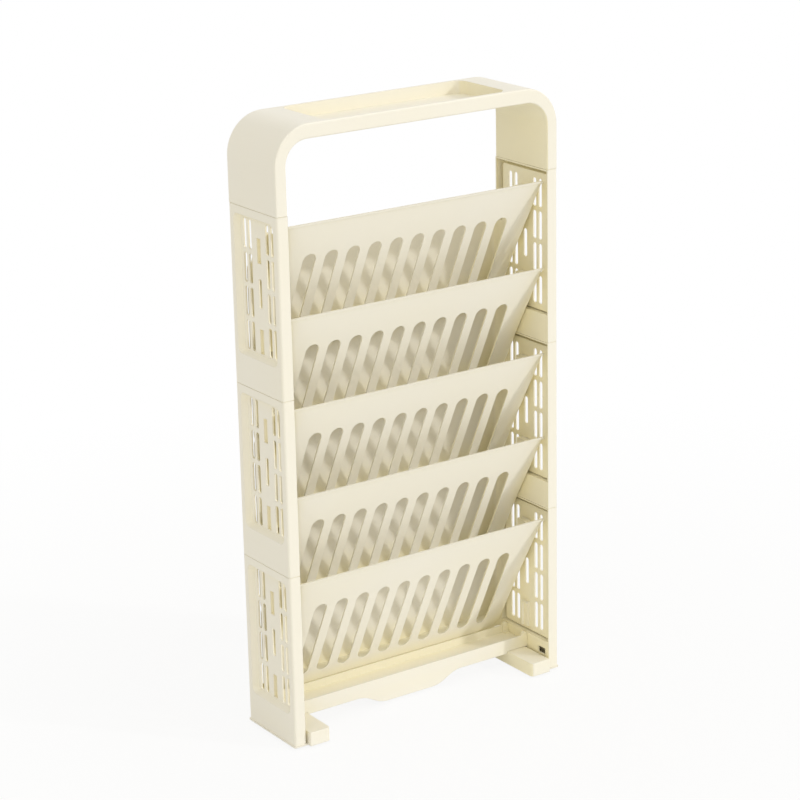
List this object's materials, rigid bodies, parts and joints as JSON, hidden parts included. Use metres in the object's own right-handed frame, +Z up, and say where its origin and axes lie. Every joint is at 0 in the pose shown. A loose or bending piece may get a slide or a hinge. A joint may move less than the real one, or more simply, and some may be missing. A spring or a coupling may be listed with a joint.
{
  "type": "rolling shelf unit",
  "caption": "Slim upright book rack of moulded plastic: grid sides, leaning slotted trays, an arched hood with an open top tray, and feet with hidden rollers.",
  "frame": {"origin": "on the floor under the middle of the unit", "axes": "+Z up, -Y is the front that the trays open to, +X to the right seen from the front"},
  "size_m": [0.4044, 0.118, 0.7637],
  "materials": {
    "shell_plastic": "satin",
    "roller_plastic": "matte",
    "axle_steel": "brushed"
  },
  "bodies": {
    "frame": {"top_hood": "shell_plastic", "base_crosspiece": "shell_plastic", "side_panel_lower_left": "shell_plastic", "side_panel_middle_left": "shell_plastic", "side_panel_upper_left": "shell_plastic", "side_panel_lower_right": "shell_plastic", "side_panel_middle_right": "shell_plastic", "side_panel_upper_right": "shell_plastic", "foot_left": "shell_plastic", "foot_right": "shell_plastic", "book_tray_1": "shell_plastic", "book_tray_2": "shell_plastic", "book_tray_3": "shell_plastic", "book_tray_4": "shell_plastic", "book_tray_5": "shell_plastic", "axle_front_left": "axle_steel", "axle_rear_left": "axle_steel", "axle_front_right": "axle_steel", "axle_rear_right": "axle_steel"},
    "wheel_front_left": {"roller_front_left": "roller_plastic"},
    "wheel_rear_left": {"roller_rear_left": "roller_plastic"},
    "wheel_front_right": {"roller_front_right": "roller_plastic"},
    "wheel_rear_right": {"roller_rear_right": "roller_plastic"}
  },
  "joints": [
    {"name": "roller_front_left_spin", "type": "hinge", "parent": "frame", "child": "wheel_front_left", "pos_m": [-0.1685, -0.0445, 0.0085], "axis": [0, 1, 0], "continuous": true},
    {"name": "roller_rear_left_spin", "type": "hinge", "parent": "frame", "child": "wheel_rear_left", "pos_m": [-0.1685, 0.0445, 0.0085], "axis": [0, 1, 0], "continuous": true},
    {"name": "roller_front_right_spin", "type": "hinge", "parent": "frame", "child": "wheel_front_right", "pos_m": [0.1685, -0.0445, 0.0085], "axis": [0, 1, 0], "continuous": true},
    {"name": "roller_rear_right_spin", "type": "hinge", "parent": "frame", "child": "wheel_rear_right", "pos_m": [0.1685, 0.0445, 0.0085], "axis": [0, 1, 0], "continuous": true}
  ]
}
